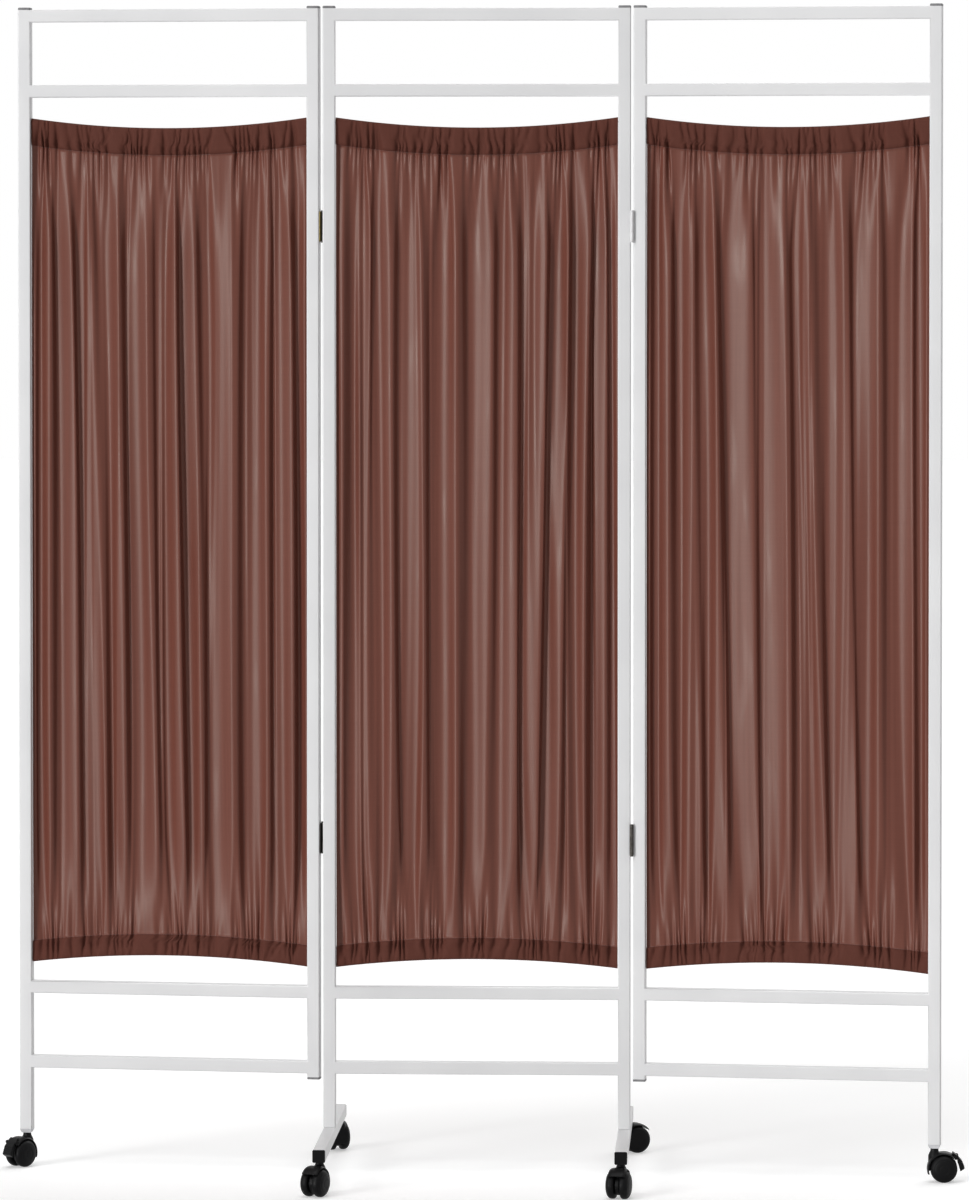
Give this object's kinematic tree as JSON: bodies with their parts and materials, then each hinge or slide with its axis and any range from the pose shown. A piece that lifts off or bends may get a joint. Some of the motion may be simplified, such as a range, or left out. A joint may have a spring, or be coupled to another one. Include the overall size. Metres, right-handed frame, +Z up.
{
  "type": "ward privacy screen on wheels",
  "caption": "Folding ward privacy screen: hinged square-tube leaves with gathered curtains on hem wires, foot bars and twin-wheel swivel casters.",
  "frame": {"origin": "on the floor under the centre of the middle leaf", "axes": "+Z up, +X along the middle leaf to the right as the picture shows it, +Y away from the viewer"},
  "size_m": [1.4689, 0.5172, 1.7777],
  "materials": {
    "white_paint": "satin powder coat",
    "curtain_cloth": "plain weave, gathered",
    "black_nylon": "moulded",
    "black_tread": "moulded",
    "grey_plastic": "moulded",
    "pale_plastic": "moulded",
    "hem_wire": "drawn",
    "hinge_steel": "blackened",
    "hinge_brass": "aged"
  },
  "bodies": {
    "middle_leaf": {"frame_middle": "white_paint", "top_cap_middle_a": "grey_plastic", "top_cap_middle_b": "grey_plastic", "curtain_middle": "curtain_cloth", "top_wire_middle": "hem_wire", "bottom_wire_middle": "hem_wire", "foot_left": "white_paint", "foot_right": "white_paint", "foot_plug_left_front": "black_nylon", "foot_plug_left_rear": "black_nylon", "foot_plug_right_front": "black_nylon", "foot_plug_right_rear": "black_nylon", "hinge_left_upper_fixed": "hinge_steel", "hinge_left_upper_pin": "hinge_steel", "hinge_left_lower_fixed": "hinge_steel", "hinge_left_lower_pin": "hinge_steel", "hinge_right_upper_fixed": "white_paint", "hinge_right_upper_pin": "white_paint", "hinge_right_lower_fixed": "hinge_steel", "hinge_right_lower_pin": "hinge_steel"},
    "left_leaf": {"frame_left": "white_paint", "top_cap_left_a": "grey_plastic", "top_cap_left_b": "grey_plastic", "curtain_left": "curtain_cloth", "top_wire_left": "hem_wire", "bottom_wire_left": "hem_wire", "tail_plug_left": "grey_plastic", "stem_socket_left": "pale_plastic", "hinge_left_upper_moving": "hinge_brass", "hinge_left_lower_moving": "hinge_steel"},
    "right_leaf": {"frame_right": "white_paint", "top_cap_right_a": "grey_plastic", "top_cap_right_b": "grey_plastic", "curtain_right": "curtain_cloth", "top_wire_right": "hem_wire", "bottom_wire_right": "hem_wire", "tail_plug_right": "grey_plastic", "stem_socket_right": "pale_plastic", "hinge_right_upper_moving": "white_paint", "hinge_right_lower_moving": "hinge_steel"},
    "caster_left_front": {"caster_left_front_hood": "black_nylon"},
    "caster_left_front_wheel_a": {"caster_left_front_wheel_a": "black_tread"},
    "caster_left_front_wheel_b": {"caster_left_front_wheel_b": "black_tread"},
    "caster_left_rear": {"caster_left_rear_hood": "black_nylon"},
    "caster_left_rear_wheel_a": {"caster_left_rear_wheel_a": "black_tread"},
    "caster_left_rear_wheel_b": {"caster_left_rear_wheel_b": "black_tread"},
    "caster_right_front": {"caster_right_front_hood": "black_nylon"},
    "caster_right_front_wheel_a": {"caster_right_front_wheel_a": "black_tread"},
    "caster_right_front_wheel_b": {"caster_right_front_wheel_b": "black_tread"},
    "caster_right_rear": {"caster_right_rear_hood": "black_nylon"},
    "caster_right_rear_wheel_a": {"caster_right_rear_wheel_a": "black_tread"},
    "caster_right_rear_wheel_b": {"caster_right_rear_wheel_b": "black_tread"},
    "caster_left_outer": {"caster_left_outer_hood": "black_nylon"},
    "caster_left_outer_wheel_a": {"caster_left_outer_wheel_a": "black_tread"},
    "caster_left_outer_wheel_b": {"caster_left_outer_wheel_b": "black_tread"},
    "caster_left_outer_brake_pedal": {"caster_left_outer_brake_pedal": "black_nylon"},
    "caster_right_outer": {"caster_right_outer_hood": "black_nylon"},
    "caster_right_outer_wheel_a": {"caster_right_outer_wheel_a": "black_tread"},
    "caster_right_outer_wheel_b": {"caster_right_outer_wheel_b": "black_tread"},
    "caster_right_outer_brake_pedal": {"caster_right_outer_brake_pedal": "black_nylon"}
  },
  "joints": [
    {"name": "left_fold", "type": "hinge", "parent": "middle_leaf", "child": "left_leaf", "pos_m": [-0.2357, 0.0128, 0.975], "axis": [0, 0, -1], "range_deg": [-8, 140]},
    {"name": "right_fold", "type": "hinge", "parent": "middle_leaf", "child": "right_leaf", "pos_m": [0.2357, -0.0128, 0.975], "axis": [0, 0, -1], "range_deg": [-8, 140]},
    {"name": "caster_left_front_swivel", "type": "hinge", "parent": "middle_leaf", "child": "caster_left_front", "pos_m": [-0.2245, -0.222, 0.051], "axis": [0, 0, 1], "continuous": true},
    {"name": "caster_left_front_wheel_a_roll", "type": "hinge", "parent": "caster_left_front", "child": "caster_left_front_wheel_a", "pos_m": [-0.23019, -0.23479, 0.02047], "axis": [0.9135, -0.4067, 0], "continuous": true},
    {"name": "caster_left_front_wheel_b_roll", "type": "hinge", "parent": "caster_left_front", "child": "caster_left_front_wheel_b", "pos_m": [-0.23019, -0.23479, 0.02047], "axis": [0.9135, -0.4067, 0], "continuous": true},
    {"name": "caster_left_rear_swivel", "type": "hinge", "parent": "middle_leaf", "child": "caster_left_rear", "pos_m": [-0.2245, 0.222, 0.051], "axis": [0, 0, 1], "continuous": true},
    {"name": "caster_left_rear_wheel_a_roll", "type": "hinge", "parent": "caster_left_rear", "child": "caster_left_rear_wheel_a", "pos_m": [-0.22929, 0.23516, 0.02047], "axis": [-0.9397, -0.342, 0], "continuous": true},
    {"name": "caster_left_rear_wheel_b_roll", "type": "hinge", "parent": "caster_left_rear", "child": "caster_left_rear_wheel_b", "pos_m": [-0.22929, 0.23516, 0.02047], "axis": [-0.9397, -0.342, 0], "continuous": true},
    {"name": "caster_right_front_swivel", "type": "hinge", "parent": "middle_leaf", "child": "caster_right_front", "pos_m": [0.2245, -0.222, 0.051], "axis": [0, 0, 1], "continuous": true},
    {"name": "caster_right_front_wheel_a_roll", "type": "hinge", "parent": "caster_right_front", "child": "caster_right_front_wheel_a", "pos_m": [0.22159, -0.23569, 0.02047], "axis": [0.9781, -0.2079, 0], "continuous": true},
    {"name": "caster_right_front_wheel_b_roll", "type": "hinge", "parent": "caster_right_front", "child": "caster_right_front_wheel_b", "pos_m": [0.22159, -0.23569, 0.02047], "axis": [0.9781, -0.2079, 0], "continuous": true},
    {"name": "caster_right_rear_swivel", "type": "hinge", "parent": "middle_leaf", "child": "caster_right_rear", "pos_m": [0.2245, 0.222, 0.051], "axis": [0, 0, 1], "continuous": true},
    {"name": "caster_right_rear_wheel_a_roll", "type": "hinge", "parent": "caster_right_rear", "child": "caster_right_rear_wheel_a", "pos_m": [0.23719, 0.22792, 0.02047], "axis": [-0.4226, 0.9063, 0], "continuous": true},
    {"name": "caster_right_rear_wheel_b_roll", "type": "hinge", "parent": "caster_right_rear", "child": "caster_right_rear_wheel_b", "pos_m": [0.23719, 0.22792, 0.02047], "axis": [-0.4226, 0.9063, 0], "continuous": true},
    {"name": "caster_left_outer_swivel", "type": "hinge", "parent": "left_leaf", "child": "caster_left_outer", "pos_m": [-0.69439, 0.05218, 0.051], "axis": [0, 0, 1], "continuous": true},
    {"name": "caster_left_outer_wheel_a_roll", "type": "hinge", "parent": "caster_left_outer", "child": "caster_left_outer_wheel_a", "pos_m": [-0.70301, 0.04115, 0.02047], "axis": [0.788, -0.6157, 0], "continuous": true},
    {"name": "caster_left_outer_wheel_b_roll", "type": "hinge", "parent": "caster_left_outer", "child": "caster_left_outer_wheel_b", "pos_m": [-0.70301, 0.04115, 0.02047], "axis": [0.788, -0.6157, 0], "continuous": true},
    {"name": "left_brake_press", "type": "hinge", "parent": "caster_left_outer", "child": "caster_left_outer_brake_pedal", "pos_m": [-0.7151, 0.02567, 0.03944], "axis": [0.788, -0.6157, 0], "range_deg": [0, 8]},
    {"name": "caster_right_outer_swivel", "type": "hinge", "parent": "right_leaf", "child": "caster_right_outer", "pos_m": [0.69439, -0.05218, 0.051], "axis": [0, 0, 1], "continuous": true},
    {"name": "caster_right_outer_wheel_a_roll", "type": "hinge", "parent": "caster_right_outer", "child": "caster_right_outer_wheel_a", "pos_m": [0.70839, -0.05218, 0.02047], "axis": [0, 1, 0], "continuous": true},
    {"name": "caster_right_outer_wheel_b_roll", "type": "hinge", "parent": "caster_right_outer", "child": "caster_right_outer_wheel_b", "pos_m": [0.70839, -0.05218, 0.02047], "axis": [0, 1, 0], "continuous": true},
    {"name": "right_brake_press", "type": "hinge", "parent": "caster_right_outer", "child": "caster_right_outer_brake_pedal", "pos_m": [0.72803, -0.05218, 0.03944], "axis": [0, 1, 0], "range_deg": [0, 8]}
  ]
}
